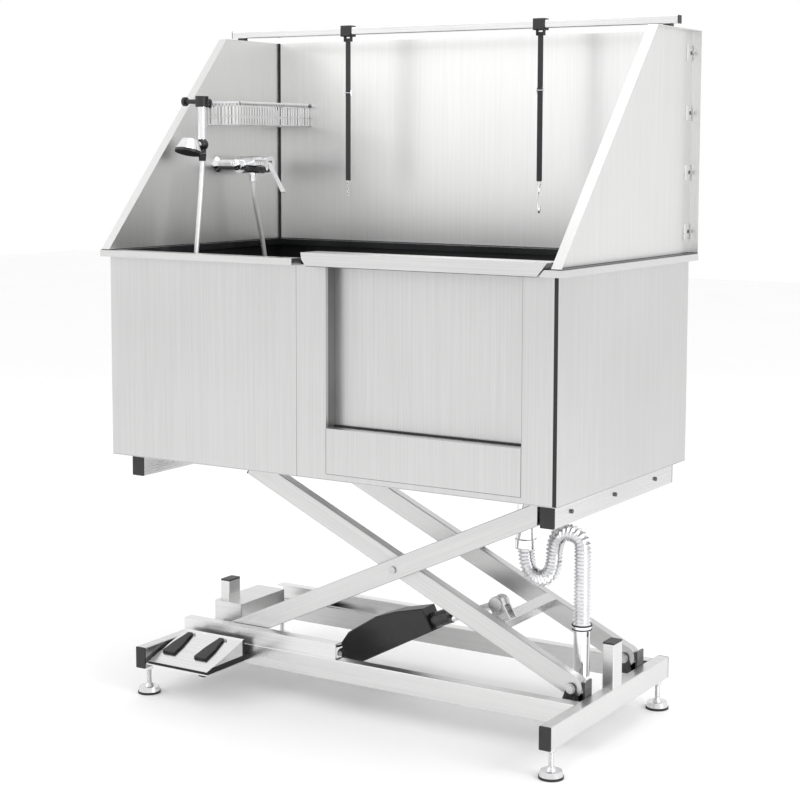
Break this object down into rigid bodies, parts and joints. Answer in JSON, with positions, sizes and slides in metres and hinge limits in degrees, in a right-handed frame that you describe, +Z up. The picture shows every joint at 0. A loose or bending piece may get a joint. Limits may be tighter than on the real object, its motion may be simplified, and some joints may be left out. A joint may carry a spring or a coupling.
{
  "type": "electric lift grooming bathtub",
  "caption": "Stainless dog bath with splash guards, a lift-up door, tap, hand shower and tether bar, carried by a motor-driven scissor lift.",
  "frame": {"origin": "on the floor under the middle of the bath", "axes": "+X along the tub to the drain end, +Y from the door side to the back, +Z up"},
  "size_m": [1.33, 0.752, 1.7302],
  "materials": {
    "frame_steel": "brushed",
    "tub_steel": "satin",
    "polished_steel": "polished",
    "black_plastic": "matte",
    "black_gloss": "semi-gloss",
    "black_paint": "satin black paint",
    "chrome": "polished",
    "rubber": "matte",
    "webbing": "woven"
  },
  "bodies": {
    "base": {"base_frame_tubes": "frame_steel", "base_end_caps": "black_plastic", "lower_tracks": "polished_steel", "base_pivot_ears": "black_paint", "base_pivot_pins": "polished_steel", "control_box": "frame_steel", "power_inlet": "black_gloss", "pedal_housing": "polished_steel", "control_cables": "rubber"},
    "foot_front_left": {"levelling_foot_front_left": "polished_steel"},
    "foot_front_right": {"levelling_foot_front_right": "polished_steel"},
    "foot_rear_left": {"levelling_foot_rear_left": "polished_steel"},
    "foot_rear_right": {"levelling_foot_rear_right": "polished_steel"},
    "raise_pedal": {"raise_pedal": "black_plastic"},
    "lower_pedal": {"lower_pedal": "black_plastic"},
    "inner_arm_pair": {"inner_arms": "frame_steel", "crank_tube": "frame_steel", "inner_arm_plugs": "black_plastic", "centre_bolts": "polished_steel"},
    "outer_arm_pair": {"outer_arms": "frame_steel", "outer_arm_plugs": "black_plastic"},
    "lower_roller_pair": {"lower_rollers": "polished_steel"},
    "upper_roller_pair": {"upper_rollers": "polished_steel"},
    "actuator": {"gearbox_housing": "black_plastic", "motor_and_ram_tubes": "black_paint"},
    "ram": {"ram_rod": "chrome", "crank_pin": "polished_steel"},
    "tub": {"tub_bearers": "frame_steel", "upper_end_caps": "black_plastic", "upper_tracks": "polished_steel", "tub_floor": "tub_steel", "tub_walls": "tub_steel", "door_frame": "tub_steel", "door_seals": "rubber", "tub_rim": "polished_steel", "side_guards": "tub_steel", "rear_guard": "tub_steel", "tub_bolts": "polished_steel", "tether_bar": "polished_steel", "wash_basket": "chrome", "shower_holder": "black_plastic", "mixer_body": "chrome", "drain_fitting": "chrome", "waste_hose": "chrome", "shower_hose": "chrome"},
    "waste_pipe": {"waste_pipe": "chrome"},
    "drain_plug": {"drain_plug": "chrome"},
    "door": {"door_panel": "tub_steel", "door_cap": "polished_steel"},
    "mixer_cap": {"mixer_cap": "chrome"},
    "mixer_lever": {"mixer_lever": "chrome"},
    "handset": {"shower_handset": "chrome", "shower_elbow": "black_gloss"},
    "tether_slider_left": {"tether_slider_left": "black_plastic"},
    "tether_slider_right": {"tether_slider_right": "black_plastic"},
    "tether_left": {"tether_strap_left": "webbing", "tether_hardware_left": "chrome"},
    "tether_right": {"tether_strap_right": "webbing", "tether_hardware_right": "chrome"}
  },
  "joints": [
    {"name": "lift", "type": "hinge", "parent": "base", "child": "inner_arm_pair", "pos_m": [0.544, 0.07, 0.144], "axis": [0, 1, 0], "range_deg": [-20.3, 2.2]},
    {"name": "scissor_centre", "type": "hinge", "parent": "inner_arm_pair", "child": "outer_arm_pair", "pos_m": [0.06274, 0.07, 0.37078], "axis": [0, 1, 0], "range_deg": [-4.63, 40.83]},
    {"name": "tub_level", "type": "hinge", "parent": "outer_arm_pair", "child": "tub", "pos_m": [0.45055, 0.07, 0.6067], "axis": [0, 1, 0], "range_deg": [-20.41, 2.31]},
    {"name": "actuator_tilt", "type": "hinge", "parent": "base", "child": "actuator", "pos_m": [-0.148, -0.02, 0.106], "axis": [0, 1, 0], "range_deg": [-1.03, 8.56]},
    {"name": "actuator_extend", "type": "slide", "parent": "actuator", "child": "ram", "axis": [0.9208, 0, 0.39], "range_m": [-0.07209, 0.0087]},
    {"name": "lower_roller_spin", "type": "hinge", "parent": "outer_arm_pair", "child": "lower_roller_pair", "pos_m": [-0.41852, 0.07, 0.144], "axis": [0, 1, 0], "continuous": true},
    {"name": "upper_roller_spin", "type": "hinge", "parent": "inner_arm_pair", "child": "upper_roller_pair", "pos_m": [-0.32507, 0.07, 0.6067], "axis": [0, 1, 0], "continuous": true},
    {"name": "waste_pipe_slide", "type": "slide", "parent": "tub", "child": "waste_pipe", "axis": [0, 0, 1], "range_m": [-0.03771, 0.3315], "deforming": ["waste_hose"]},
    {"name": "door_slide", "type": "slide", "parent": "tub", "child": "door", "axis": [0, 0, 1], "range_m": [0, 0.38]},
    {"name": "mixer_swivel", "type": "hinge", "parent": "tub", "child": "mixer_cap", "pos_m": [-0.521, 0.148, 1.3617], "axis": [1, 0, 0], "range_deg": [-50, 50]},
    {"name": "mixer_lift", "type": "hinge", "parent": "mixer_cap", "child": "mixer_lever", "pos_m": [-0.507, 0.148, 1.3617], "axis": [0, -1, 0], "range_deg": [0, 20]},
    {"name": "handset_swivel", "type": "hinge", "parent": "tub", "child": "handset", "pos_m": [-0.563, -0.07, 1.5267], "axis": [0, 0, 1], "range_deg": [-8, 60]},
    {"name": "tether_slide_left", "type": "slide", "parent": "tub", "child": "tether_slider_left", "axis": [1, 0, 0], "range_m": [-0.19, 0.2]},
    {"name": "tether_swing_left", "type": "hinge", "parent": "tether_slider_left", "child": "tether_left", "pos_m": [-0.285, 0.2, 1.6932], "axis": [1, 0, 0], "range_deg": [-70, 17]},
    {"name": "tether_slide_right", "type": "slide", "parent": "tub", "child": "tether_slider_right", "axis": [1, 0, 0], "range_m": [-0.2, 0.25]},
    {"name": "tether_swing_right", "type": "hinge", "parent": "tether_slider_right", "child": "tether_right", "pos_m": [0.292, 0.2, 1.6932], "axis": [1, 0, 0], "range_deg": [-70, 17]},
    {"name": "drain_plug_lift", "type": "slide", "parent": "tub", "child": "drain_plug", "axis": [0, 0, 1], "range_m": [0, 0.06]},
    {"name": "raise_pedal_press", "type": "hinge", "parent": "base", "child": "raise_pedal", "pos_m": [-0.522, -0.186, 0.13668], "axis": [1, 0, 0], "range_deg": [0, 3], "stiffness_Nm_per_rad": 6, "springref_deg": -2.86},
    {"name": "lower_pedal_press", "type": "hinge", "parent": "base", "child": "lower_pedal", "pos_m": [-0.419, -0.186, 0.13668], "axis": [1, 0, 0], "range_deg": [0, 3], "stiffness_Nm_per_rad": 6, "springref_deg": -2.86},
    {"name": "foot_turn_front_left", "type": "hinge", "parent": "base", "child": "foot_front_left", "pos_m": [-0.576, -0.29, 0.06], "axis": [0, 0, 1], "continuous": true},
    {"name": "foot_turn_front_right", "type": "hinge", "parent": "base", "child": "foot_front_right", "pos_m": [0.597, -0.29, 0.06], "axis": [0, 0, 1], "continuous": true},
    {"name": "foot_turn_rear_left", "type": "hinge", "parent": "base", "child": "foot_rear_left", "pos_m": [-0.576, 0.29, 0.06], "axis": [0, 0, 1], "continuous": true},
    {"name": "foot_turn_rear_right", "type": "hinge", "parent": "base", "child": "foot_rear_right", "pos_m": [0.597, 0.29, 0.06], "axis": [0, 0, 1], "continuous": true}
  ],
  "couplings": [
    {"joint": "scissor_centre", "follows": "lift", "ratio": -2},
    {"joint": "tub_level", "follows": "lift", "ratio": 1},
    {"joint": "actuator_tilt", "follows": "lift", "ratio": -0.416},
    {"joint": "actuator_extend", "follows": "lift", "m_per_rad": 0.20066},
    {"joint": "waste_pipe_slide", "follows": "lift", "m_per_rad": -0.93}
  ]
}
